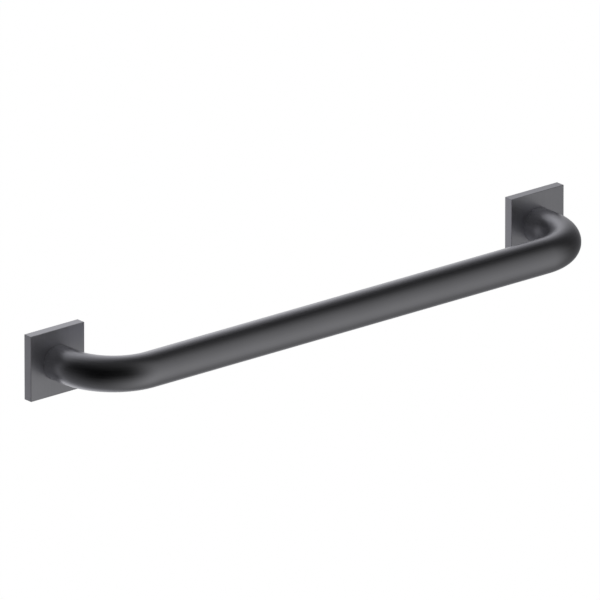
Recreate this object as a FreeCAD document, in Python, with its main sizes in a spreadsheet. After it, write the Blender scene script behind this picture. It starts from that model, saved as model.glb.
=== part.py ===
"""Wall-fixed grab bar: a bent tube welded into two round flanges, with a square cover over each.

Millimetres. X runs along the bar, -Y points from the wall into the room and Z is up. The origin
lies on the wall, midway between the two fixing centres.
"""
import FreeCAD, Part
import math
import os
import Sketcher
from FreeCAD import Vector

# Driving sizes. Each becomes a named cell of the document's sheet.
SIZES = {
    # Bar
    "fixing_centres": 600.0,      # from one flange's centre to the other's
    "bar_diameter": 35.0,
    "bar_wall": 2.0,
    "bar_to_wall": 82.0,          # from the wall to the centreline of the straight run
    "bend_radius": 54.0,          # on the centreline
    "bar_setback": 1.5,           # the cut ends stop this short of the wall, for the weld
    # Wall flanges
    "flange_thickness": 5.0,
    "flange_edge": 0.5,           # bevel round the room side of the rim
    "flange_bore_gap": 0.05,      # all round the bar
    "screw_circle": 48.5,
    "screw_count": 3,
    "screw_hole": 5.5,            # for a 5 mm screw
    "screw_head": 10.4,           # mouth of the countersink
    "countersink_angle": 90.0,
    # Welds, made from behind
    "weld_leg": 1.2,
    # Covers
    "cover_side": 66.0,
    "cover_depth": 9.8,
    "cover_wall": 2.0,
    "cover_edge": 0.5,            # rounding of the outer edges
    "cover_rim_edge": 0.2,        # bevel of the rim that faces the wall
    "cover_wall_gap": 0.3,        # the cover stops this short of the wall, so that the flange seats
    "cover_bore_gap": 0.15,       # all round the bar
    "cover_bore_edge": 0.3,       # bevel round the room side of the bore
    "cover_rim_gap": 0.1,         # between the cover's walls and the flange's rim
    "cover_front_gap": 0.3,       # between the pocket's floor and the flange's face
    "pocket_corner": 3.0,         # radius that the cutter leaves in the pocket's corners
    # Grub screws, each of which locks a cover to its flange from below
    "grub_diameter": 3.0,
    "grub_length": 4.0,
    "grub_from_wall": 2.75,
    "grub_recess": 0.2,           # sunk below the cover's underside
    "grub_gap": 0.05,             # all round the screw
    "grub_edge": 0.3,             # bevel of both ends
    "grub_point_gap": 0.1,        # between the point and the floor of its seat
    "grub_key": 1.5,              # across the flats of the socket
    "grub_key_depth": 1.5,
}

# Sizes that follow from the driving ones
HALF_CENTRES = "sizes.fixing_centres / 2"
FLANGE_BORE = "(sizes.bar_diameter + 2 * sizes.flange_bore_gap)"
COVER_BORE = "(sizes.bar_diameter + 2 * sizes.cover_bore_gap)"
POCKET_SIDE = "(sizes.cover_side - 2 * sizes.cover_wall)"
POCKET_DEPTH = "(sizes.flange_thickness + sizes.cover_front_gap - sizes.cover_wall_gap)"
COVER_FRONT = "(sizes.cover_wall_gap + sizes.cover_depth)"
FLANGE_DIAMETER = f"({POCKET_SIDE} - 2 * sizes.cover_rim_gap)"
GRUB_HOLE = "(sizes.grub_diameter + 2 * sizes.grub_gap)"
GRUB_FOOT = "(sizes.cover_side / 2 - sizes.grub_recess)"
GRUB_SEAT_FLOOR = f"({GRUB_FOOT} - sizes.grub_length - sizes.grub_point_gap)"

# The side of the origin that each end of the bar is on
ENDS = {"left": "-1", "right": "1"}

doc = FreeCAD.newDocument("grab_bar")
sheet = doc.addObject("Spreadsheet::Sheet", "sizes")
for row, (alias, number) in enumerate(SIZES.items(), start=1):
    sheet.set(f"A{row}", alias.replace("_", " "))
    sheet.set(f"B{row}", str(number))
    sheet.setAlias(f"B{row}", alias)
gauge = doc.addObject("App::FeaturePython", "gauge")
doc.recompute()


def size(expression):
    """The value of an expression of the sheet's cells."""
    return float(gauge.evalExpression(expression))


def new_body(name, end=None):
    """A labelled body, at the origin or moved out to one end of the bar."""
    body = doc.addObject("PartDesign::Body", name)
    body.Label = name
    if end:
        body.setExpression("Placement.Base.x", f"{ENDS[end]} * {HALF_CENTRES}")
    return body


def origin_item(body, role):
    """The plane or axis of the body's own origin that has this role."""
    return next(item for item in body.Origin.OriginFeatures if item.Role == role)


def new_sketch(body, name, plane, lift=None):
    """A sketch on an origin plane of the body, or lifted off it along its normal."""
    sketch = body.newObject("Sketcher::SketchObject", f"{body.Name}_{name}")
    sketch.AttachmentSupport = [(origin_item(body, plane), "")]
    sketch.MapMode = "FlatFace"
    if lift:
        sketch.setExpression("AttachmentOffset.Base.z", lift)
    return sketch


def new_feature(body, kind, name, sketch=None):
    """A PartDesign feature of the body, with its profile sketch if it has one."""
    feature = body.newObject(f"PartDesign::{kind}", f"{body.Name}_{name}")
    if sketch:
        feature.Profile = sketch
        sketch.Visibility = False
    return feature


def bind(sketch, name, expression, kind, *places):
    """Adds a dimension to a sketch and ties it to an expression."""
    index = sketch.addConstraint(Sketcher.Constraint(kind, *places, size(expression)))
    sketch.renameConstraint(index, name)
    sketch.setExpression(f"Constraints.{name}", expression)


def add_circle(sketch, name, diameter, right=None, up=None, down=None):
    """A circle of a bound diameter, centred on the sketch's origin or a bound way off it."""
    height = size(up) if up else -size(down) if down else 0
    centre = Vector(size(right) if right else 0, height, 0)
    circle = sketch.addGeometry(Part.Circle(centre, Vector(0, 0, 1), size(diameter) / 2), False)
    bind(sketch, name, diameter, "Diameter", circle)
    if right:
        bind(sketch, f"{name}_right", right, "DistanceX", -1, 1, circle, 3)
    else:
        sketch.addConstraint(Sketcher.Constraint("PointOnObject", circle, 3, -2))
    if up:
        bind(sketch, f"{name}_up", up, "DistanceY", -1, 1, circle, 3)
    elif down:
        bind(sketch, f"{name}_down", down, "DistanceY", circle, 3, -1, 1)
    else:
        sketch.addConstraint(Sketcher.Constraint("PointOnObject", circle, 3, -1))
    return circle


def add_loop(sketch, corners):
    """A closed loop of straight lines through the corners. Gives the index of each line."""
    lines = []
    for start, end in zip(corners, corners[1:] + corners[:1]):
        lines.append(sketch.addGeometry(Part.LineSegment(start, end), False))
    for line, following in zip(lines, lines[1:] + lines[:1]):
        sketch.addConstraint(Sketcher.Constraint("Coincident", line, 2, following, 1))
    return lines


def add_square(sketch, name, side):
    """A square of a bound side, level and centred on the sketch's origin."""
    half = size(side) / 2
    corners = [Vector(-half, -half, 0), Vector(half, -half, 0), Vector(half, half, 0), Vector(-half, half, 0)]
    bottom, right, top, left = add_loop(sketch, corners)
    for line in (bottom, top):
        sketch.addConstraint(Sketcher.Constraint("Horizontal", line))
    for line in (right, left):
        sketch.addConstraint(Sketcher.Constraint("Vertical", line))
    sketch.addConstraint(Sketcher.Constraint("Symmetric", bottom, 1, top, 1, -1, 1))
    bind(sketch, name, side, "DistanceX", bottom, 1, bottom, 2)
    sketch.addConstraint(Sketcher.Constraint("Equal", bottom, right))


def edges_where(feature, test):
    """The names of the feature's edges that pass a test."""
    doc.recompute()
    return [f"Edge{n}" for n, edge in enumerate(feature.Shape.Edges, start=1) if test(edge)]


def spans(edge, axis):
    """How far the edge reaches along an axis."""
    return getattr(edge.BoundBox, f"{axis}Length")


def lies_at(edge, axis, place):
    """Whether the whole edge lies in the plane at this place on an axis."""
    box = edge.BoundBox
    near = 1e-4
    return abs(getattr(box, f"{axis}Min") - place) < near and abs(getattr(box, f"{axis}Max") - place) < near


def dress(body, kind, name, expression, test):
    """A fillet or chamfer of a bound size on the edges of the body's tip that pass a test."""
    base = body.Tip
    edges = edges_where(base, test)
    feature = body.newObject(f"PartDesign::{kind}", f"{body.Name}_{name}")
    feature.Base = (base, edges)
    feature.setExpression("Radius" if kind == "Fillet" else "Size", expression)
    return feature


def bar_tube():
    """The bar: one length of tube with a bend at each end, its cut ends towards the wall."""
    body = new_body("bar_tube")
    half = size(HALF_CENTRES)
    radius = size("sizes.bend_radius")
    run = -size("sizes.bar_to_wall")
    foot = -size("sizes.bar_setback")
    knee = run + radius
    upright = Vector(0, 0, 1)
    bend_right = Part.Circle(Vector(half - radius, knee, 0), upright, radius)
    bend_left = Part.Circle(Vector(radius - half, knee, 0), upright, radius)

    route = new_sketch(body, "route", "XY_Plane")
    right_leg, right_bend, straight, left_bend, left_leg = route.addGeometry([
        Part.LineSegment(Vector(half, foot, 0), Vector(half, knee, 0)),
        Part.ArcOfCircle(bend_right, 1.5 * math.pi, 2 * math.pi),
        Part.LineSegment(Vector(half - radius, run, 0), Vector(radius - half, run, 0)),
        Part.ArcOfCircle(bend_left, math.pi, 1.5 * math.pi),
        Part.LineSegment(Vector(-half, knee, 0), Vector(-half, foot, 0)),
    ], False)
    route.addConstraint([
        Sketcher.Constraint("Vertical", right_leg),
        Sketcher.Constraint("Horizontal", straight),
        Sketcher.Constraint("Vertical", left_leg),
        Sketcher.Constraint("Tangent", right_leg, 2, right_bend, 2),
        Sketcher.Constraint("Tangent", right_bend, 1, straight, 1),
        Sketcher.Constraint("Tangent", straight, 2, left_bend, 2),
        Sketcher.Constraint("Tangent", left_bend, 1, left_leg, 1),
        Sketcher.Constraint("Equal", right_bend, left_bend),
        Sketcher.Constraint("Symmetric", right_leg, 1, left_leg, 2, -2),
    ])
    bind(route, "bend", "sizes.bend_radius", "Radius", right_bend)
    bind(route, "half_centres", HALF_CENTRES, "DistanceX", -1, 1, right_leg, 1)
    bind(route, "to_wall", "sizes.bar_to_wall", "DistanceY", straight, 1, -1, 1)
    bind(route, "setback", "sizes.bar_setback", "DistanceY", right_leg, 1, -1, 1)

    section = new_sketch(body, "section", "XZ_Plane", "sizes.bar_setback")
    add_circle(section, "outside", "sizes.bar_diameter", right=HALF_CENTRES)
    add_circle(section, "inside", "sizes.bar_diameter - 2 * sizes.bar_wall", right=HALF_CENTRES)
    doc.recompute()
    pipe = new_feature(body, "AdditivePipe", "pipe", section)
    pipe.Spine = (route, [f"Edge{n}" for n in range(1, len(route.Shape.Edges) + 1)])
    return body


def wall_flange(end):
    """A turned disc that the bar is welded into, with countersunk holes for the wall screws."""
    body = new_body(f"{end}_wall_flange", end)
    disc = new_sketch(body, "disc", "XZ_Plane")
    add_circle(disc, "rim", FLANGE_DIAMETER)
    add_circle(disc, "bore", FLANGE_BORE)
    pad = new_feature(body, "Pad", "plate", disc)
    pad.setExpression("Length", "sizes.flange_thickness")
    face = -size("sizes.flange_thickness")
    rim = size(FLANGE_DIAMETER)
    dress(body, "Chamfer", "rim_bevel", "sizes.flange_edge",
          lambda edge: lies_at(edge, "Y", face) and abs(spans(edge, "X") - rim) < 0.01)

    centre = new_sketch(body, "top_screw", "XZ_Plane", "sizes.flange_thickness")
    add_circle(centre, "screw", "sizes.screw_hole", up="sizes.screw_circle / 2")
    doc.recompute()
    hole = new_feature(body, "Hole", "screw_hole", centre)
    hole.Threaded = False
    hole.DepthType = "ThroughAll"
    hole.HoleCutType = "Countersink"
    hole.HoleCutCustomValues = True
    hole.setExpression("Diameter", "sizes.screw_hole")
    hole.setExpression("HoleCutDiameter", "sizes.screw_head")
    hole.setExpression("HoleCutCountersinkAngle", "sizes.countersink_angle")
    doc.recompute()
    holes = new_feature(body, "PolarPattern", "screw_holes")
    holes.Originals = [hole]
    holes.Axis = (origin_item(body, "Y_Axis"), [""])
    holes.Angle = 360
    holes.setExpression("Occurrences", "sizes.screw_count")
    body.Tip = holes

    seat = new_sketch(body, "grub_seat", "XY_Plane", f"-{FLANGE_DIAMETER} / 2")
    add_circle(seat, "seat", GRUB_HOLE, down="sizes.grub_from_wall")
    socket = new_feature(body, "Pocket", "grub_seat_hole", seat)
    socket.Reversed = True
    socket.setExpression("Length", f"{FLANGE_DIAMETER} / 2 - {GRUB_SEAT_FLOOR}")
    return body


def weld(end):
    """The ring of weld that joins the bar's cut end to the flange's bore, seen from behind."""
    body = new_body(f"{end}_weld", end)
    bore = size(FLANGE_BORE) / 2
    leg = size("sizes.weld_leg")
    floor = -size("sizes.bar_setback")
    section = new_sketch(body, "section", "XY_Plane")
    corner = Vector(bore, floor, 0)
    wall, slope, root = add_loop(section, [corner, corner + Vector(0, leg, 0), corner - Vector(leg, 0, 0)])
    section.addConstraint(Sketcher.Constraint("Vertical", wall))
    section.addConstraint(Sketcher.Constraint("Horizontal", root))
    section.addConstraint(Sketcher.Constraint("Equal", wall, root))
    bind(section, "leg", "sizes.weld_leg", "DistanceY", wall, 1, wall, 2)
    bind(section, "bore", f"{FLANGE_BORE} / 2", "DistanceX", -1, 1, wall, 1)
    bind(section, "floor", "sizes.bar_setback", "DistanceY", wall, 1, -1, 1)
    ring = new_feature(body, "Revolution", "ring", section)
    ring.ReferenceAxis = (origin_item(body, "Y_Axis"), [""])
    ring.Angle = 360
    return body


def cover(end):
    """A square block with a pocket for the flange behind, a bore for the bar and a tapped hole below."""
    body = new_body(f"{end}_cover", end)
    half = size("sizes.cover_side") / 2
    inside = size(POCKET_SIDE) / 2
    back = -size("sizes.cover_wall_gap")
    front = -size(COVER_FRONT)

    outline = new_sketch(body, "outline", "XZ_Plane", "sizes.cover_wall_gap")
    add_square(outline, "side", "sizes.cover_side")
    block = new_feature(body, "Pad", "block", outline)
    block.setExpression("Length", "sizes.cover_depth")
    dress(body, "Fillet", "outer_edges", "sizes.cover_edge", lambda edge: not lies_at(edge, "Y", back))
    dress(body, "Chamfer", "rim_bevel", "sizes.cover_rim_edge", lambda edge: lies_at(edge, "Y", back))

    hollow = new_sketch(body, "pocket_outline", "XZ_Plane", "sizes.cover_wall_gap")
    add_square(hollow, "inside", POCKET_SIDE)
    pocket = new_feature(body, "Pocket", "pocket", hollow)
    pocket.Reversed = True
    pocket.setExpression("Length", POCKET_DEPTH)
    dress(body, "Fillet", "pocket_corners", "sizes.pocket_corner",
          lambda edge: lies_at(edge, "X", inside) and lies_at(edge, "Z", inside)
          or lies_at(edge, "X", -inside) and lies_at(edge, "Z", inside)
          or lies_at(edge, "X", inside) and lies_at(edge, "Z", -inside)
          or lies_at(edge, "X", -inside) and lies_at(edge, "Z", -inside))

    opening = new_sketch(body, "bore_circle", "XZ_Plane", COVER_FRONT)
    add_circle(opening, "bore", COVER_BORE)
    bore = new_feature(body, "Pocket", "bore", opening)
    bore.Type = "ThroughAll"
    mouth = size(COVER_BORE)
    dress(body, "Chamfer", "bore_bevel", "sizes.cover_bore_edge",
          lambda edge: lies_at(edge, "Y", front) and abs(spans(edge, "X") - mouth) < 0.01)

    tapping = new_sketch(body, "grub_circle", "XY_Plane", "-sizes.cover_side / 2")
    add_circle(tapping, "thread", GRUB_HOLE, down="sizes.grub_from_wall")
    tapped = new_feature(body, "Pocket", "grub_hole", tapping)
    tapped.Reversed = True
    tapped.setExpression("Length", "sizes.cover_wall")
    return body


def grub_screw(end):
    """A grub screw with a hexagon socket below and its point in the flange's rim."""
    body = new_body(f"{end}_grub_screw", end)
    foot = -size(GRUB_FOOT)
    point = foot + size("sizes.grub_length")
    depth = -size("sizes.grub_from_wall")
    shank = new_sketch(body, "shank_circle", "XY_Plane", f"-{GRUB_FOOT}")
    add_circle(shank, "thread", "sizes.grub_diameter", down="sizes.grub_from_wall")
    pad = new_feature(body, "Pad", "shank", shank)
    pad.setExpression("Length", "sizes.grub_length")
    dress(body, "Chamfer", "bevels", "sizes.grub_edge",
          lambda edge: lies_at(edge, "Z", foot) or lies_at(edge, "Z", point))

    key = new_sketch(body, "key_hexagon", "XY_Plane", f"-{GRUB_FOOT}")
    across_corners = "(sizes.grub_key / cos(30))"
    ring = add_circle(key, "corners", across_corners, down="sizes.grub_from_wall")
    key.setConstruction(ring, True)
    reach = size(across_corners) / 2
    turns = [math.radians(60 * n) for n in range(6)]
    sides = add_loop(key, [Vector(reach * math.cos(a), depth + reach * math.sin(a), 0) for a in turns])
    for side in sides:
        key.addConstraint(Sketcher.Constraint("PointOnObject", side, 1, ring))
    for side in sides[1:]:
        key.addConstraint(Sketcher.Constraint("Equal", sides[0], side))
    key.addConstraint(Sketcher.Constraint("Horizontal", sides[1]))
    socket = new_feature(body, "Pocket", "key_socket", key)
    socket.Reversed = True
    socket.setExpression("Length", "sizes.grub_key_depth")
    return body


bodies = [bar_tube()]
for end in ENDS:
    bodies += [wall_flange(end), weld(end), cover(end), grub_screw(end)]
doc.recompute()

for item in doc.Objects:
    if "Invalid" in item.State or "Error" in item.State:
        raise RuntimeError(f"{item.Label} did not compute: {item.State}")
for body in bodies:
    if body.Shape.isNull() or not body.Shape.isValid():
        raise RuntimeError(f"{body.Label} has no valid shape")

os.makedirs("parts", exist_ok=True)
for body in bodies:
    body.Shape.exportStep(f"parts/{body.Label}.step")
    print(f"{body.Label}: {len(body.Shape.Solids)} solid, {body.Shape.Volume / 1000:.2f} cm3")
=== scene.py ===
"""A wall-fixed grab bar in satin gunmetal: bent tube, square covers, turned flanges and welds."""
import logging
import math
from collections.abc import Iterable, Sequence
from dataclasses import dataclass, field
from enum import Enum

import bmesh
import bpy
from mathutils import Matrix, Vector


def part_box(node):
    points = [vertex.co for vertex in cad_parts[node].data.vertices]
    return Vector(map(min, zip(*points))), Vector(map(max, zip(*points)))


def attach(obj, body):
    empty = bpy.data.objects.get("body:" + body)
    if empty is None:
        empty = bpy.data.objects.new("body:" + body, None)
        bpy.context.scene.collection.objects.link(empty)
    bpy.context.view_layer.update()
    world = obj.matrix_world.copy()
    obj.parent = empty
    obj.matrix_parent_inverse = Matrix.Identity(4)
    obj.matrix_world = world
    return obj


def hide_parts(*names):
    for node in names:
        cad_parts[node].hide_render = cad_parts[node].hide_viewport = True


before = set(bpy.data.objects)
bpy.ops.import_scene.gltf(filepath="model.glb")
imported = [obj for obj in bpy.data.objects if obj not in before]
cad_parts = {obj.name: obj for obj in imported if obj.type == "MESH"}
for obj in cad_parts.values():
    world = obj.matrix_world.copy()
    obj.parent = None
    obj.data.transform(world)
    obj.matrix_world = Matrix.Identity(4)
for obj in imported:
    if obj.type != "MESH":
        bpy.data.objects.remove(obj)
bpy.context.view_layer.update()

LOG = logging.getLogger("grab_bar")
BODY = "root"
MM = 0.001
# Points that are nearer to each other than this count as one.
SAME_PLACE = 0.01 * MM
X, Y, Z = range(3)
UP = Vector((0.0, 0.0, 1.0))
INTO_WALL = Vector((0.0, 1.0, 0.0))
WHITE = (1.0, 1.0, 1.0)
BLACK = (0.0, 0.0, 0.0)
# The mesh attribute that says where a point of the bar would be if the bar were straight.
STRAIGHT_PLACE = "straight_place"

Colour = tuple[float, float, float]
Edge = bmesh.types.BMEdge
Socket = bpy.types.NodeSocket
# What a node's socket can be given: another node's socket, a number, a vector or a colour.
Feed = Socket | float | tuple[float, ...]


class End(Enum):
    """One end of the bar, named as its CAD nodes are."""

    LEFT = "left"
    RIGHT = "right"

    def node(self, piece: str) -> str:
        """Gives the name of this end's CAD node of a piece."""
        return f"{self.value}_{piece}"

    @property
    def centre(self) -> Vector:
        """The middle of this end's flange, on the wall plane."""
        low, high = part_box(self.node("wall_flange"))
        return Vector(((low.x + high.x) / 2, high.y, (low.z + high.z) / 2))


class Grain(Enum):
    """How a metal surface was finished."""

    SATIN_ALONG_BAR = "satin lines that follow the bar"
    SATIN_UPRIGHT = "satin lines up a flat cover"
    TURNED = "rings left by a lathe"
    WELDED = "mottled weld"
    BLACKENED = "blackened screw"


# How finely each finish varies along each axis, in blots of noise to the metre. The rings of a lathe vary
# along the radius alone, which is the first value.
BLOTS_PER_METRE = {
    Grain.SATIN_ALONG_BAR: (3200.0, 3200.0, 60.0),
    Grain.SATIN_UPRIGHT: (3200.0, 3200.0, 60.0),
    Grain.TURNED: (4000.0, 0.0, 0.0),
    Grain.WELDED: (900.0, 900.0, 900.0),
    Grain.BLACKENED: (2600.0, 2600.0, 2600.0),
}


class NodeSheet:
    """Adds nodes to one shader tree and links them."""

    def __init__(self, tree: bpy.types.ShaderNodeTree) -> None:
        """Empties the tree.

        Args:
            tree: The node tree of a material or of the world.
        """
        tree.nodes.clear()
        self.tree = tree

    def add(self, kind: str, inputs: dict[str | int, Feed] | None = None,
            **settings: object) -> bpy.types.Node:
        """Adds a node, sets its properties and fills its sockets.

        Args:
            kind: The node's type, without its ShaderNode prefix.
            inputs: Socket name or number, to a constant or to the output socket that feeds it.
            settings: Properties of the node itself.

        Returns:
            The new node.
        """
        node = self.tree.nodes.new(f"ShaderNode{kind}")
        for name, value in settings.items():
            setattr(node, name, value)
        for name, value in (inputs or {}).items():
            if isinstance(value, Socket):
                self.tree.links.new(value, node.inputs[name])
            else:
                node.inputs[name].default_value = value
        return node

    def math(self, operation: str, *values: Feed) -> Socket:
        """Adds a Math node.

        Args:
            operation: The name of the operation.
            values: Its operands, each a number or a socket.

        Returns:
            The result's socket.
        """
        node = self.add("Math", dict(enumerate(values)), operation=operation)
        return node.outputs["Value"]

    def mean(self, first: Socket, second: Socket) -> Socket:
        """Gives the mean of two values."""
        return self.math("MULTIPLY", self.math("ADD", first, second), 0.5)

    def ramp(self, value: Feed, low: float, high: float, start: float, end: float) -> Socket:
        """Eases a value from one range into another.

        Args:
            value: The socket to map.
            low: Where the input range begins.
            high: Where the input range ends.
            start: The result at low and below.
            end: The result at high and above.

        Returns:
            The result's socket.
        """
        ranges = {"Value": value, "From Min": low, "From Max": high, "To Min": start, "To Max": end}
        return self.add("MapRange", ranges, interpolation_type="SMOOTHSTEP").outputs["Result"]

    def noise(self, place: Socket, scale: float, detail: float) -> Socket:
        """Adds soft noise.

        Args:
            place: Where each point of the surface lies in the noise.
            scale: The number of blots to the metre.
            detail: The number of finer layers on them.

        Returns:
            The noise's socket, from 0 to 1.
        """
        return self.add("TexNoise", {"Vector": place, "Scale": scale, "Detail": detail}).outputs["Fac"]

    def mix_colours(self, share: Socket, first: Colour, second: Colour) -> Socket:
        """Mixes two colours.

        Args:
            share: The second colour's share.
            first: The colour at a share of 0.
            second: The colour at a share of 1.

        Returns:
            The mixed colour's socket.
        """
        # The node repeats its socket names for each type of value, so its colours go by number.
        sockets = {0: share, 6: (*first, 1.0), 7: (*second, 1.0)}
        return self.add("Mix", sockets, data_type="RGBA").outputs[2]

    def mix_shaders(self, share: Socket, first: bpy.types.Node, second: bpy.types.Node) -> Socket:
        """Mixes two shaders.

        Args:
            share: The second shader's share.
            first: The shader at a share of 0.
            second: The shader at a share of 1.

        Returns:
            The mixed shader's socket.
        """
        return self.add("MixShader", {0: share, 1: first.outputs[0], 2: second.outputs[0]}).outputs["Shader"]

    def output(self, shader: Socket, kind: str = "Material") -> None:
        """Sends a shader to the output of a material or, with the kind World, of the world."""
        self.add(f"Output{kind}", {"Surface": shader})


def new_material(name: str) -> tuple[bpy.types.Material, NodeSheet]:
    """Makes a material with no nodes yet.

    Args:
        name: The material's name.

    Returns:
        The material and the sheet for its nodes.
    """
    material = bpy.data.materials.new(name)
    material.use_nodes = True
    return material, NodeSheet(material.node_tree)


# Painted light: a duller coat near the covers, lit by the white studio, lightens the shaded corner where
# each leg meets its cover.
@dataclass(frozen=True)
class PaintedLightEnds:
    """Where painted light lightens the bar's ends ahead of its covers: the coating there takes a dull share,
    lit by the white studio, which lightens the shaded corner where each leg meets its cover.

    Attributes:
        begins: Where that begins, as a distance along the bar from its middle.
        full: Where the painted light is strongest, measured the same way.
        metal: The share that shines like bare metal there; the rest is the dull coat that carries the
            painted light.
    """

    begins: float = 316.0 * MM
    full: float = 347.0 * MM
    metal: float = 0.88


@dataclass(frozen=True)
class MetalFinish:
    """A coated steel surface with its own grain.

    Attributes:
        name: The material's name.
        slot: The name of a material slot in the record; it is not used.
        grain: How the surface was finished.
        colour: The mean colour of the coating.
        roughness: Its mean roughness.
        metal: The share that shines like bare metal. The rest is a dull coat of the same colour.
        painted_light_ends: Where painted light lightens the coating near the covers, if it does, through a
            duller coat there that the white studio lights.
        roughness_spread: How far the roughness strays each way.
        colour_spread: How far the colour strays each way, as a share of it.
        coarse: How finely the grain's coarse layer varies, as a share of the fine layer.
        groove: How deep the grain is.
        centre: The point that a turned piece's rings run round.
        clouds: The number of soft clouds in the coating to the metre.
        cloud_detail: The number of finer layers on the clouds.
        line_detail: The number of finer layers on the grain.
        tone_range: The noise at which the coating is darkest and lightest.
        gloss_range: The noise at which it is glossiest and dullest.
    """

    name: str
    slot: str
    grain: Grain
    colour: Colour
    roughness: float
    metal: float = 1.0
    painted_light_ends: PaintedLightEnds | None = None
    roughness_spread: float = 0.03
    colour_spread: float = 0.05
    coarse: float = 0.25
    groove: float = 0.012 * MM
    centre: tuple[float, float, float] = (0.0, 0.0, 0.0)
    clouds: float = 14.0
    cloud_detail: float = 3.0
    line_detail: float = 2.0
    tone_range: tuple[float, float] = (0.3, 0.7)
    gloss_range: tuple[float, float] = (0.25, 0.75)

    def material(self) -> bpy.types.Material:
        """Builds the finish as a material.

        Returns:
            The material, with colour, roughness and bump from its nodes.
        """
        material, sheet = new_material(self.name)
        place = self._place(sheet)
        clouds = sheet.noise(place, self.clouds, self.cloud_detail)
        fine = self._grain(sheet, place, 1.0)
        coarse = self._grain(sheet, place, self.coarse)
        darker = tuple(channel * (1 - self.colour_spread) for channel in self.colour)
        lighter = tuple(channel * (1 + self.colour_spread) for channel in self.colour)
        tone = sheet.ramp(sheet.mean(clouds, coarse), *self.tone_range, 0.0, 1.0)
        gloss = sheet.ramp(coarse, *self.gloss_range, self.roughness - self.roughness_spread,
                           self.roughness + self.roughness_spread)
        height = sheet.mean(fine, coarse)
        bump = sheet.add("Bump", {"Strength": 1.0, "Distance": self.groove, "Height": height})
        surface = sheet.add("BsdfPrincipled", {
            "Base Color": sheet.mix_colours(tone, darker, lighter),
            "Metallic": self._metal(sheet, place),
            "Roughness": gloss,
            "Normal": bump.outputs["Normal"],
        })
        sheet.output(surface.outputs["BSDF"])
        return material

    def _metal(self, sheet: NodeSheet, place: Socket) -> float | Socket:
        """Gives the share of the surface that shines like bare metal.

        Args:
            sheet: The material's nodes.
            place: The coordinates that the grain follows.

        Returns:
            One number, or a socket where the ends turn duller, which paints light into the shaded corners by
            the covers.
        """
        if self.painted_light_ends is None:
            return self.metal
        # Painted light: towards the covers the metal share falls, and the white studio lights the dull coat,
        # so the shaded corner at each cover comes out lighter.
        along = sheet.math("ABSOLUTE", sheet.add("SeparateXYZ", {"Vector": place}).outputs["Z"])
        ends = self.painted_light_ends
        return sheet.ramp(along, ends.begins, ends.full, self.metal, ends.metal)

    def _place(self, sheet: NodeSheet) -> Socket:
        """Finds the coordinates that the grain follows.

        Args:
            sheet: The material's nodes.

        Returns:
            Their socket.
        """
        if self.grain is Grain.SATIN_ALONG_BAR:
            return sheet.add("Attribute", attribute_name=STRAIGHT_PLACE).outputs["Vector"]
        place = sheet.add("TexCoord").outputs["Object"]
        shift = tuple(-value for value in self.centre)
        return sheet.add("Mapping", {"Vector": place, "Location": shift}).outputs["Vector"]

    def _grain(self, sheet: NodeSheet, place: Socket, share: float) -> Socket:
        """Adds one layer of the surface's grain.

        Args:
            sheet: The material's nodes.
            place: The coordinates that the grain follows.
            share: How finely the layer varies, as a share of the fine layer.

        Returns:
            The layer's height, from 0 to 1.
        """
        if self.grain is Grain.TURNED:
            axes = sheet.add("SeparateXYZ", {"Vector": place}).outputs
            squares = [sheet.math("MULTIPLY", axes[name], axes[name]) for name in ("X", "Z")]
            radius = sheet.math("SQRT", sheet.math("ADD", *squares))
            place = sheet.add("CombineXYZ", {"X": radius}).outputs["Vector"]
        scale = tuple(blots * share for blots in BLOTS_PER_METRE[self.grain])
        stretched = sheet.add("Mapping", {"Vector": place, "Scale": scale}).outputs["Vector"]
        return sheet.noise(stretched, 1.0, self.line_detail)


def new_piece(name: str, bm: bmesh.types.BMesh, smooth_below: float = 30.0) -> bpy.types.Object:
    """Turns a bmesh into a piece of the scene with smooth rounds and crisp edges.

    Args:
        name: The piece's name.
        bm: Its finished mesh, which is freed.
        smooth_below: Edges that turn by less than this many degrees are shaded smooth.

    Returns:
        The new object, at the origin.
    """
    mesh = bpy.data.meshes.new(name)
    bm.to_mesh(mesh)
    bm.free()
    mesh.shade_smooth()
    mesh.set_sharp_from_angle(angle=math.radians(smooth_below))
    piece = bpy.data.objects.new(name, mesh)
    bpy.context.scene.collection.objects.link(piece)
    return piece


def finish_piece(piece: bpy.types.Object, finish: MetalFinish, *nodes: str) -> bpy.types.Object:
    """Dresses a new piece, lets it ride on the bar's body and puts it in place of its CAD nodes.

    Args:
        piece: The new piece.
        finish: The metal that it is made of.
        nodes: The CAD nodes that it stands for.

    Returns:
        The same piece.
    """
    piece.data.materials.clear()
    piece.data.materials.append(finish.material())
    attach(piece, BODY)
    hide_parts(*nodes)
    LOG.info("%s: %d faces, %s", piece.name, len(piece.data.polygons), finish.grain.value)
    return piece


def cylinder(bm: bmesh.types.BMesh, radius: float, start: Vector, along: Vector, around: int) -> None:
    """Adds a closed cylinder.

    Args:
        bm: The mesh to add it to.
        radius: Its radius.
        start: The centre of its first end.
        along: From the first end's centre to the last's.
        around: How many flats it has round.
    """
    turn = UP.rotation_difference(along.normalized()).to_matrix().to_4x4()
    place = Matrix.Translation(start + along / 2) @ turn
    bmesh.ops.create_cone(bm, cap_ends=True, segments=around, radius1=radius, radius2=radius,
                          depth=along.length, matrix=place)


def block(bm: bmesh.types.BMesh, low: Vector, high: Vector) -> None:
    """Adds a box.

    Args:
        bm: The mesh to add it to.
        low: Its lowest corner.
        high: Its highest corner.
    """
    place = Matrix.Translation((low + high) / 2) @ Matrix.Diagonal((*(high - low), 1.0))
    bmesh.ops.create_cube(bm, size=1.0, matrix=place)


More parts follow.
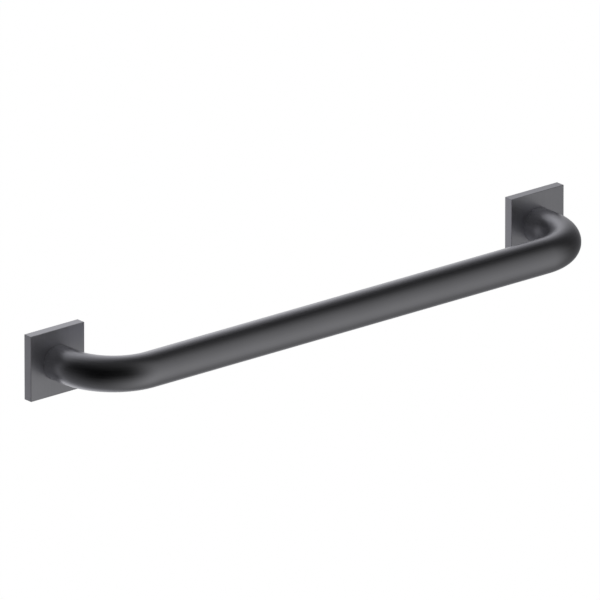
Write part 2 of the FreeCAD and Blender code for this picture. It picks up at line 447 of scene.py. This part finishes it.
def round_edges(bm: bmesh.types.BMesh, edges: Iterable[Edge], radius: float, steps: int) -> None:
    """Rounds edges with a bevel.

    Args:
        bm: The mesh.
        edges: The edges to round.
        radius: How far back the bevel reaches.
        steps: How many steps it has.
    """
    bmesh.ops.bevel(bm, geom=list(edges), offset=radius, offset_type="OFFSET", segments=steps, profile=0.5,
                    affect="EDGES", clamp_overlap=True, material=-1, loop_slide=True)


def lies_at(edge: Edge, axis: int, place: float) -> bool:
    """Tells whether both ends of an edge lie at this place on an axis."""
    return all(abs(vert.co[axis] - place) < SAME_PLACE for vert in edge.verts)


@dataclass
class BarTube:
    """The bent tube, hollow and open towards the wall at both ends.

    Attributes:
        finish: The metal that it is made of.
        radius: Its outer radius.
        wall: How thick it is.
        bend_radius: The radius of both bends, on the centreline.
        around: How many flats it has round.
        bend_steps: How many rings each bend has.
        run_steps: How many rings the straight run between the bends has.
        leg_steps: How many rings each leg has.
        half_centres: From the middle of the bar to each leg's centreline.
        to_wall: From the straight run's centreline to the wall.
        setback: How far from the wall the cut ends stop.
    """

    finish: MetalFinish
    radius: float = 17.5 * MM
    wall: float = 2.0 * MM
    bend_radius: float = 54.0 * MM
    around: int = 96
    bend_steps: int = 36
    run_steps: int = 41
    leg_steps: int = 3
    half_centres: float = field(init=False)
    to_wall: float = field(init=False)
    setback: float = field(init=False)

    def __post_init__(self) -> None:
        """Takes the tube's place from its CAD node."""
        low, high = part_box("bar_tube")
        self.half_centres = high.x - self.radius
        self.to_wall = -low.y - self.radius
        self.setback = -high.y

    @property
    def knee(self) -> float:
        """How far from the wall each bend begins."""
        return self.to_wall - self.bend_radius

    def build(self) -> bpy.types.Object:
        """Sweeps the outer skin along the bar and gives it the thickness of its wall.

        Returns:
            The finished tube.
        """
        bm = bmesh.new()
        self._sweep(bm)
        bmesh.ops.recalc_face_normals(bm, faces=bm.faces)
        bmesh.ops.solidify(bm, geom=bm.faces, thickness=self.wall)
        self._note_straight_place(bm)
        return finish_piece(new_piece("bar", bm), self.finish, "bar_tube")

    def _sweep(self, bm: bmesh.types.BMesh) -> None:
        """Sweeps the outer skin from the left cut end to the right one.

        Args:
            bm: The mesh to add it to.
        """
        start = Vector((-self.half_centres, -self.setback, 0.0))
        upright = Matrix.Translation(start) @ Matrix.Rotation(math.pi / 2, 4, "X")
        ring = bmesh.ops.create_circle(bm, cap_ends=False, segments=self.around, radius=self.radius,
                                       matrix=upright)["verts"]
        last = list(dict.fromkeys(edge for vert in ring for edge in vert.link_edges))
        leg = Vector((0.0, self.setback - self.knee, 0.0))
        run = Vector((2 * (self.half_centres - self.bend_radius), 0.0, 0.0))
        centre = Vector((-self.half_centres + self.bend_radius, -self.knee, 0.0))
        last = self._push(bm, last, leg, self.leg_steps)
        last = self._bend(bm, last, centre)
        last = self._push(bm, last, run, self.run_steps)
        last = self._bend(bm, last, centre + run)
        self._push(bm, last, -leg, self.leg_steps)

    def _push(self, bm: bmesh.types.BMesh, edges: list[Edge], way: Vector, steps: int) -> list[Edge]:
        """Extends the skin in a straight line.

        Args:
            bm: The skin so far.
            edges: The ring that it ends in.
            way: How far it goes, and where to.
            steps: How many rings it gets.

        Returns:
            The edges of its last ring.
        """
        for _ in range(steps):
            made = bmesh.ops.extrude_edge_only(bm, edges=edges)["geom"]
            verts = [item for item in made if isinstance(item, bmesh.types.BMVert)]
            edges = [item for item in made if isinstance(item, Edge)]
            bmesh.ops.translate(bm, verts=verts, vec=way / steps)
        return edges

    def _bend(self, bm: bmesh.types.BMesh, edges: list[Edge], centre: Vector) -> list[Edge]:
        """Extends the skin by a quarter of a turn.

        Args:
            bm: The skin so far.
            edges: The ring that it ends in.
            centre: The bend's centre.

        Returns:
            The edges of its last ring.
        """
        verts = list(dict.fromkeys(vert for edge in edges for vert in edge.verts))
        made = bmesh.ops.spin(bm, geom=[*verts, *edges], cent=centre, axis=UP, dvec=(0, 0, 0),
                              angle=math.pi / 2, steps=self.bend_steps, use_duplicate=False)["geom_last"]
        return [item for item in made if isinstance(item, Edge)]

    def _note_straight_place(self, bm: bmesh.types.BMesh) -> None:
        """Notes where each vertex would be if the bar were straight, so that the grain follows the bends.

        Args:
            bm: The tube's mesh, whose vertices keep the note.
        """
        layer = bm.verts.layers.float_vector.new(STRAIGHT_PLACE)
        quarter = self.bend_radius * math.pi / 2
        reach = self.half_centres - self.bend_radius
        for vert in bm.verts:
            side = math.copysign(1.0, vert.co.x)
            x, y = abs(vert.co.x), -vert.co.y
            if x <= reach:
                along, out = x, y - self.to_wall
            elif y <= self.knee:
                along, out = reach + quarter + self.knee - y, x - self.half_centres
            else:
                turn = math.atan2(x - reach, y - self.knee)
                along = reach + self.bend_radius * turn
                out = math.hypot(x - reach, y - self.knee) - self.bend_radius
            vert[layer] = Vector((out, vert.co.z, side * along))


@dataclass
class Cover:
    """A square cover, hollow behind, with a bore for the bar and a hole for its grub screw.

    Attributes:
        end: The end of the bar that it covers.
        finish: The metal that it is made of.
        wall: How thick its sides are.
        pocket_depth: How deep it is hollow behind.
        pocket_corner: The radius of the pocket's corners.
        edge: How far its outer edges are rounded.
        rim_edge: How far the rim that faces the wall is rounded.
        bore: The bore's diameter.
        bore_edge: How far the bore's mouth is rounded.
        screw_gap: The play all round the grub screw.
        overrun: How far a cutter reaches past what it cuts.
        bore_around: How many flats the bore has round.
        hole_around: How many flats the screw's hole has round.
        corner_steps: How many steps the pocket's corners have.
        edge_steps: How many steps the outer edges have.
        fine_steps: How many steps the rim and the bore's mouth have.
        corner_above: Edges that turn by more than this many degrees are corners.
        low: Its lowest corner.
        high: Its highest corner.
    """

    end: End
    finish: MetalFinish
    wall: float = 2.0 * MM
    pocket_depth: float = 5.0 * MM
    pocket_corner: float = 3.0 * MM
    edge: float = 0.5 * MM
    rim_edge: float = 0.2 * MM
    bore: float = 35.1 * MM
    bore_edge: float = 0.04 * MM
    screw_gap: float = 0.05 * MM
    overrun: float = 1.0 * MM
    bore_around: int = 96
    hole_around: int = 32
    corner_steps: int = 8
    edge_steps: int = 4
    fine_steps: int = 2
    corner_above: float = 45.0
    low: Vector = field(init=False)
    high: Vector = field(init=False)

    def __post_init__(self) -> None:
        """Takes the cover's place from its CAD node."""
        self.low, self.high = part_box(self.end.node("cover"))

    def build(self) -> bpy.types.Object:
        """Cuts the pocket, the bore and the screw hole from a block, then eases its edges.

        Returns:
            The finished cover.
        """
        name = self.end.node("cover_shell")
        body = bmesh.new()
        block(body, self.low, self.high)
        solid = new_piece(name, body)
        for label, cutter in self._cutters().items():
            self._cut(solid, label, cutter)
        bm = bmesh.new()
        bm.from_mesh(solid.data)
        bpy.data.objects.remove(solid)
        self._ease(bm)
        piece = new_piece(name, bm)
        weigh = piece.modifiers.new("flat faces stay flat", "WEIGHTED_NORMAL")
        weigh.keep_sharp = True
        return finish_piece(piece, self.finish, self.end.node("cover"))

    def _cutters(self) -> dict[str, bmesh.types.BMesh]:
        """Makes the shapes that are taken out of the block.

        Returns:
            Each cut's name and shape, in the order of the cuts.
        """
        inset = Vector((self.wall, 0.0, self.wall))
        floor = self.high.y - self.pocket_depth
        pocket = bmesh.new()
        block(pocket, Vector((self.low.x, floor, self.low.z)) + inset,
              Vector((self.high.x, self.high.y + self.overrun, self.high.z)) - inset)
        corners = [edge for edge in pocket.edges
                   if (edge.verts[0].co - edge.verts[1].co).xz.length < SAME_PLACE]
        round_edges(pocket, corners, self.pocket_corner, self.corner_steps)
        centre = self.end.centre
        mouth = Vector((centre.x, self.low.y - self.overrun, centre.z))
        depth = self.high.y - mouth.y + self.overrun
        bore = bmesh.new()
        cylinder(bore, self.bore / 2, mouth, INTO_WALL * depth, self.bore_around)
        screw_low, screw_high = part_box(self.end.node("grub_screw"))
        screw = (screw_low + screw_high) / 2
        radius = (screw_high.x - screw_low.x) / 2 + self.screw_gap
        foot = Vector((screw.x, screw.y, self.low.z - self.overrun))
        hole = bmesh.new()
        cylinder(hole, radius, foot, UP * (self.wall + 2 * self.overrun), self.hole_around)
        return {"pocket": pocket, "bore": bore, "screw_hole": hole}

    def _cut(self, solid: bpy.types.Object, label: str, cutter: bmesh.types.BMesh) -> None:
        """Takes a shape out of the cover's solid.

        Args:
            solid: The cover so far.
            label: The cut's name.
            cutter: The shape to take out, which is freed.
        """
        tool = new_piece(f"{solid.name}_{label}", cutter)
        cut = solid.modifiers.new(label, "BOOLEAN")
        cut.operation = "DIFFERENCE"
        cut.solver = "EXACT"
        cut.object = tool
        bpy.context.view_layer.update()
        shaped = solid.evaluated_get(bpy.context.evaluated_depsgraph_get())
        mesh = bpy.data.meshes.new_from_object(shaped)
        solid.modifiers.clear()
        solid.data = mesh
        bpy.data.objects.remove(tool)

    def _ease(self, bm: bmesh.types.BMesh) -> None:
        """Rounds the outer edges and breaks the sharp edges of the rim and of the bore's mouth.

        Args:
            bm: The cover's mesh.
        """
        outer = [edge for edge in self._corners(bm) if self._sides(edge) == 2
                 or self._sides(edge) and lies_at(edge, Y, self.low.y)]
        round_edges(bm, outer, self.edge, self.edge_steps)
        rim = [edge for edge in self._corners(bm) if self._sides(edge) and lies_at(edge, Y, self.high.y)]
        round_edges(bm, rim, self.rim_edge, self.fine_steps)
        centre = self.end.centre
        reach = (self.high.x - self.low.x) / 2 - self.wall
        mouth = [edge for edge in self._corners(bm) if lies_at(edge, Y, self.low.y)
                 and (edge.verts[0].co - centre).xz.length < reach]
        round_edges(bm, mouth, self.bore_edge, self.fine_steps)

    def _corners(self, bm: bmesh.types.BMesh) -> list[Edge]:
        """Finds the edges that are real corners, and not seams across a flat face.

        Args:
            bm: The cover's mesh.

        Returns:
            Those edges.
        """
        limit = math.radians(self.corner_above)
        return [edge for edge in bm.edges if len(edge.link_faces) == 2 and edge.calc_face_angle() > limit]

    def _sides(self, edge: Edge) -> int:
        """Counts the cover's four outer sides that an edge lies on."""
        planes = ((X, self.low.x), (X, self.high.x), (Z, self.low.z), (Z, self.high.z))
        return sum(lies_at(edge, axis, place) for axis, place in planes)


@dataclass
class WeldRing:
    """The rippled ring of weld between the bar's cut end and the flange's bore.

    Attributes:
        end: The end of the bar that it joins.
        finish: The metal that it is made of.
        leg: How far it reaches up the bore and in over the cut end.
        bulge: How far it rises between its two toes.
        ripple: How much more it rises at each ripple's crest.
        ripples: How many ripples there are round it.
        ripple_steps: How many steps each ripple has.
        slope_steps: How many steps it has from toe to toe.
        toe_share: Vertices nearer to a toe than this share of a leg stay where they are.
        smooth_below: Edges that turn by less than this many degrees are shaded smooth.
    """

    end: End
    finish: MetalFinish
    leg: float = 1.2 * MM
    bulge: float = 0.18 * MM
    ripple: float = 0.07 * MM
    ripples: int = 64
    ripple_steps: int = 6
    slope_steps: int = 5
    toe_share: float = 0.05
    smooth_below: float = 60.0

    def build(self) -> bpy.types.Object:
        """Spins the weld's section round the bore and presses the ripples into it.

        Returns:
            The finished ring.
        """
        node = self.end.node("weld")
        low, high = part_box(node)
        centre = self.end.centre
        bore = (high.x - low.x) / 2
        corner = Vector((centre.x + bore, low.y, centre.z))
        crest = corner + Vector((0.0, self.leg, 0.0))
        toe = corner - Vector((self.leg, 0.0, 0.0))
        slope = [toe.lerp(crest, step / self.slope_steps) for step in range(1, self.slope_steps)]
        bm = bmesh.new()
        verts = [bm.verts.new(place) for place in (corner, crest, *reversed(slope), toe)]
        edges = [bm.edges.new(pair) for pair in zip(verts, verts[1:] + verts[:1])]
        bmesh.ops.spin(bm, geom=[*verts, *edges], cent=centre, axis=INTO_WALL, dvec=(0, 0, 0),
                       angle=2 * math.pi, steps=self.ripples * self.ripple_steps, use_merge=True)
        bmesh.ops.remove_doubles(bm, verts=bm.verts, dist=SAME_PLACE)
        bmesh.ops.recalc_face_normals(bm, faces=bm.faces)
        self._ripple(bm, centre, bore, low.y)
        return finish_piece(new_piece(f"{node}_bead", bm, self.smooth_below), self.finish, node)

    def _ripple(self, bm: bmesh.types.BMesh, centre: Vector, bore: float, floor: float) -> None:
        """Raises the bead between its two toes, more at each ripple's crest.

        Args:
            bm: The bead's mesh.
            centre: The middle of the flange, on the wall plane.
            bore: The radius of the flange's bore.
            floor: The place of the bar's cut end on the Y axis.
        """
        for vert in bm.verts:
            flat = vert.co - centre
            share = (vert.co.y - floor) / self.leg
            depth = (bore - flat.xz.length) / self.leg
            if min(share, depth) < self.toe_share:
                continue
            phase = (math.atan2(flat.z, flat.x) / (2 * math.pi) * self.ripples) % 1.0
            lift = (self.bulge + self.ripple * math.sin(math.pi * phase)) * 4 * share * (1 - share)
            inward = Vector((-flat.x, 0.0, -flat.z)).normalized()
            vert.co += (inward + INTO_WALL).normalized() * lift


@dataclass(frozen=True)
class Window:
    """A soft window in the dark tent round the bar, as seen from the bar, with angles in degrees.

    Attributes:
        azimuth: Where its middle is, round the bar. 0 is straight out from the wall and 90 is to the
            right of someone who faces the wall.
        elevation: Where its middle is, above the horizon.
        width: How far it reaches from side to side.
        height: How far it reaches from top to bottom.
        opening: The share of the studio's light that comes in at its middle. Above 1 it is quite
            clear for some way round its middle.
    """

    azimuth: float
    elevation: float
    width: float
    height: float
    opening: float

    def light(self, sheet: NodeSheet, azimuth: Socket, elevation: Socket) -> Socket:
        """Adds the window to the tent's cloth, fading from its middle to its edge.

        Args:
            sheet: The cloth's nodes.
            azimuth: The way from the bar to a place on the cloth, round the bar.
            elevation: The same way, above the horizon.

        Returns:
            The share of the studio's light that comes in there.
        """
        aside = sheet.math("WRAP", sheet.math("SUBTRACT", azimuth, self.azimuth), 180.0, -180.0)
        above = sheet.math("SUBTRACT", elevation, self.elevation)
        across = sheet.ramp(sheet.math("ABSOLUTE", aside), 0.0, self.width / 2, self.opening, 0.0)
        upright = sheet.ramp(sheet.math("ABSOLUTE", above), 0.0, self.height / 2, 1.0, 0.0)
        return sheet.math("MULTIPLY", across, upright)


@dataclass(frozen=True)
class DarkTent:
    """The dark cloth that keeps the white studio out of the metal, apart from its windows.

    Attributes:
        radius: How far from the bar it hangs.
        roundness: How many times its ball is divided.
        thin: The share of the light that the cloth lets through between its windows.
        thin_overhead: The same share straight above the bar.
        thin_below: The same share straight below the bar.
        overhead_from: The elevation in degrees at which the cloth begins to thin towards its top.
        front_tint: The colour of what comes in from the front.
        front_fade: How far each side of the wall's plane that colour changes, as a share of the radius.
        windows: Two windows behind the bar, two in front of it and one at each side.
    """

    radius: float = 3.5
    roundness: int = 4
    thin: float = 0.001
    thin_overhead: float = 0.059
    thin_below: float = 0.22
    overhead_from: float = 20.0
    front_tint: Colour = (1.0, 1.0, 0.96)
    front_fade: float = 0.3
    windows: Sequence[Window] = (
        Window(azimuth=158.0, elevation=-7.0, width=112.0, height=178.0, opening=1.16),
        Window(azimuth=-173.5, elevation=-7.0, width=118.0, height=180.0, opening=0.98),
        Window(azimuth=31.0, elevation=6.5, width=101.5, height=171.5, opening=0.37),
        Window(azimuth=19.0, elevation=-42.0, width=180.0, height=121.0, opening=0.27),
        Window(azimuth=106.0, elevation=-16.0, width=90.0, height=180.0, opening=0.1),
        Window(azimuth=-111.0, elevation=-22.5, width=90.0, height=120.0, opening=0.08),
    )

    def build(self) -> None:
        """Hangs the tent round the bar, where only reflections see it."""
        bm = bmesh.new()
        bmesh.ops.create_icosphere(bm, subdivisions=self.roundness, radius=self.radius)
        tent = new_piece("dark_tent", bm, smooth_below=180.0)
        tent.visible_camera = False
        tent.visible_diffuse = False
        tent.visible_transmission = False
        tent.visible_shadow = False
        tent.data.materials.append(self._cloth())

    def _cloth(self) -> bpy.types.Material:
        """Builds the cloth: black where it is thick, clear where a window lets the white studio in.

        Returns:
            The cloth's material.
        """
        material, sheet = new_material("tent cloth")
        place = sheet.add("TexCoord").outputs["Object"]
        way = sheet.add("VectorMath", {0: place}, operation="NORMALIZE").outputs["Vector"]
        axes = sheet.add("SeparateXYZ", {"Vector": way}).outputs
        to_front = sheet.math("MULTIPLY", axes["Y"], -1.0)
        azimuth = sheet.math("DEGREES", sheet.math("ARCTAN2", axes["X"], to_front))
        elevation = sheet.math("DEGREES", sheet.math("ARCSINE", axes["Z"]))
        below = sheet.ramp(elevation, -90.0, 0.0, self.thin_below, self.thin)
        overhead = sheet.ramp(elevation, self.overhead_from, 90.0, 0.0, self.thin_overhead - self.thin)
        share = sheet.math("ADD", below, overhead)
        for window in self.windows:
            share = sheet.math("ADD", share, window.light(sheet, azimuth, elevation))
        share = sheet.math("MINIMUM", share, 1.0)
        front = sheet.ramp(to_front, -self.front_fade, self.front_fade, 0.0, 1.0)
        cloth = sheet.add("BsdfDiffuse", {"Color": (*BLACK, 1.0)})
        clear = sheet.add("BsdfTransparent", {"Color": sheet.mix_colours(front, WHITE, self.front_tint)})
        sheet.output(sheet.mix_shaders(share, cloth, clear))
        return material


@dataclass(frozen=True)
class Studio:
    """A white studio with a pale floor, and the camera of a distant view from the front left.

    Attributes:
        tent: The dark tent round the bar.
        floor_drop: How far below the bar the floor is.
        floor_reach: How far the floor reaches each way.
        floor_colour: How much of the light the floor gives back.
        view_azimuth: Where the camera stands round the bar, in degrees, counted as the windows are.
        view_elevation: How high it stands, in degrees above the horizon.
        view_width: How wide the picture is at the bar.
        view_right: How far the picture's middle is to the right of the frame's origin.
        view_down: How far the picture's middle is below the frame's origin.
        lens: The focal length, in millimetres.
        sensor: The sensor's width, in millimetres.
        sight: How far the camera sees, as a multiple of its distance.
    """

    tent: DarkTent = DarkTent()
    floor_drop: float = 4.0
    floor_reach: float = 400.0
    floor_colour: float = 0.8
    view_azimuth: float = -40.0
    view_elevation: float = 20.0
    view_width: float = 574.79 * MM
    view_right: float = 7.12 * MM
    view_down: float = 9.58 * MM
    lens: float = 1700.0
    sensor: float = 36.0
    sight: float = 20.0

    def build(self) -> None:
        """Sets up the light, the floor, the tent and the camera."""
        self._light()
        self._floor()
        self.tent.build()
        self._camera()
        bpy.context.scene.view_settings.view_transform = "Standard"
        LOG.info("studio: white all round, a dark tent with %d windows", len(self.tent.windows))

    def _light(self) -> None:
        """Lights the scene evenly with plain white from all round."""
        world = bpy.data.worlds.new("white studio")
        world.use_nodes = True
        sheet = NodeSheet(world.node_tree)
        white = sheet.add("Background", {"Color": (*WHITE, 1.0), "Strength": 1.0})
        sheet.output(white.outputs["Background"], "World")
        # The light is the same all round, so no map of its brightest places is needed.
        world.cycles.sampling_method = "NONE"
        bpy.context.scene.world = world

    def _floor(self) -> None:
        """Lays a plain pale floor below the bar, as white as the studio but for the shadow on it."""
        bm = bmesh.new()
        bmesh.ops.create_grid(bm, x_segments=1, y_segments=1, size=self.floor_reach,
                              matrix=Matrix.Translation((0.0, 0.0, -self.floor_drop)))
        floor = new_piece("floor", bm)
        material, sheet = new_material("pale floor")
        paint = sheet.add("BsdfDiffuse", {"Color": (*(self.floor_colour,) * 3, 1.0)})
        path = sheet.add("LightPath").outputs
        seen = sheet.math("MAXIMUM", path["Is Glossy Ray"], path["Is Transmission Ray"])
        seen = sheet.math("MAXIMUM", path["Is Camera Ray"], seen)
        lift = sheet.math("MULTIPLY", seen, 1.0 - self.floor_colour)
        glow = sheet.add("Emission", {"Color": (*WHITE, 1.0), "Strength": lift})
        lit = sheet.add("AddShader", {0: paint.outputs["BSDF"], 1: glow.outputs["Emission"]})
        under = sheet.add("NewGeometry").outputs["Backfacing"]
        clear = sheet.add("BsdfTransparent")
        sheet.output(sheet.mix_shaders(under, lit, clear))
        floor.data.materials.append(material)

    def _camera(self) -> None:
        """Puts the camera far off with a long lens, so that parallel edges stay nearly parallel."""
        lens = bpy.data.cameras.new("camera")
        lens.lens = self.lens
        lens.sensor_width = self.sensor
        distance = self.view_width * self.lens / self.sensor
        lens.clip_end = distance * self.sight
        azimuth, elevation = math.radians(self.view_azimuth), math.radians(self.view_elevation)
        turn = Matrix.Rotation(azimuth, 4, "Z") @ Matrix.Rotation(math.pi / 2 - elevation, 4, "X")
        camera = bpy.data.objects.new("camera", lens)
        camera.matrix_world = turn @ Matrix.Translation((self.view_right, -self.view_down, distance))
        bpy.context.scene.collection.objects.link(camera)
        bpy.context.scene.camera = camera


@dataclass(frozen=True)
class Finishes:
    """The finishes of the bar's pieces.

    Attributes:
        gunmetal: The colour of the satin coating.
        gloss: The roughness of the satin coating.
        lit_cover_metal: The share of the covers' coating that shines like bare metal; the rest is a dull
            coat lit by the white studio, painted light that lightens the covers and the shaded corner round
            each leg.
        flange_coat: The colour of the flanges' coating.
        weld_coat: The colour of the welds' coating.
        blackened: The colour of the grub screws.
    """

    gunmetal: Colour = (0.375, 0.375, 0.411)
    gloss: float = 0.33
    # Painted light: below 1 the covers' coating takes a dull share, lit by the white studio, that lightens
    # the covers and the shaded corner round each leg.
    lit_cover_metal: float = 0.93
    flange_coat: Colour = (0.24, 0.24, 0.25)
    weld_coat: Colour = (0.24, 0.235, 0.23)
    blackened: Colour = (0.10, 0.10, 0.105)

    def bar(self) -> MetalFinish:
        """The tube's satin coating, with its grain along the bar and painted light at its ends by the
        covers.
        """
        # Painted light near the covers: the bar's ends take a dull share that the white studio lights.
        return MetalFinish("satin gunmetal bar", "satin_gunmetal", Grain.SATIN_ALONG_BAR,
                           self.gunmetal, self.gloss, painted_light_ends=PaintedLightEnds())

    def cover(self, end: End) -> MetalFinish:
        """The covers' satin coating, the bar's own with a dull share added as painted light, so that the
        white studio lightens the covers and the shaded corner round each leg.
        """
        return MetalFinish(f"satin gunmetal {end.value} cover", "satin_gunmetal", Grain.SATIN_UPRIGHT,
                           self.gunmetal, self.gloss, metal=self.lit_cover_metal)

    def flange(self, end: End) -> MetalFinish:
        """The flanges' darker coating over lathe rings."""
        return MetalFinish(f"turned {end.value} flange", "flange_steel", Grain.TURNED,
                           self.flange_coat, roughness=0.36, roughness_spread=0.08,
                           colour_spread=0.12, groove=0.03 * MM, centre=tuple(end.centre))

    def weld(self, end: End) -> MetalFinish:
        """The coated weld."""
        return MetalFinish(f"{end.value} weld", "weld_steel", Grain.WELDED,
                           self.weld_coat, roughness=0.45, roughness_spread=0.1,
                           colour_spread=0.25, groove=0.02 * MM)

    def screw(self, end: End) -> MetalFinish:
        """The grub screws' blackened steel."""
        return MetalFinish(f"{end.value} grub screw", "screw_steel", Grain.BLACKENED,
                           self.blackened, roughness=0.38, roughness_spread=0.08,
                           colour_spread=0.2, groove=0.006 * MM)


def dress_node(node: str, finish: MetalFinish) -> None:
    """Gives a CAD node that keeps its own shape a finish.

    Args:
        node: The node's name.
        finish: The metal that it is made of.
    """
    material = finish.material()
    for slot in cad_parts[node].material_slots:
        slot.material = material
    LOG.info("%s: kept from the frame, %s", node, finish.grain.value)


def main() -> None:
    """Builds the studio and every piece of the grab bar."""
    logging.basicConfig(level=logging.INFO, format="%(name)s: %(message)s")
    Studio().build()
    finishes = Finishes()
    BarTube(finishes.bar()).build()
    for end in End:
        Cover(end, finishes.cover(end)).build()
        WeldRing(end, finishes.weld(end)).build()
        dress_node(end.node("wall_flange"), finishes.flange(end))
        dress_node(end.node("grub_screw"), finishes.screw(end))


if __name__ == "__main__":
    main()
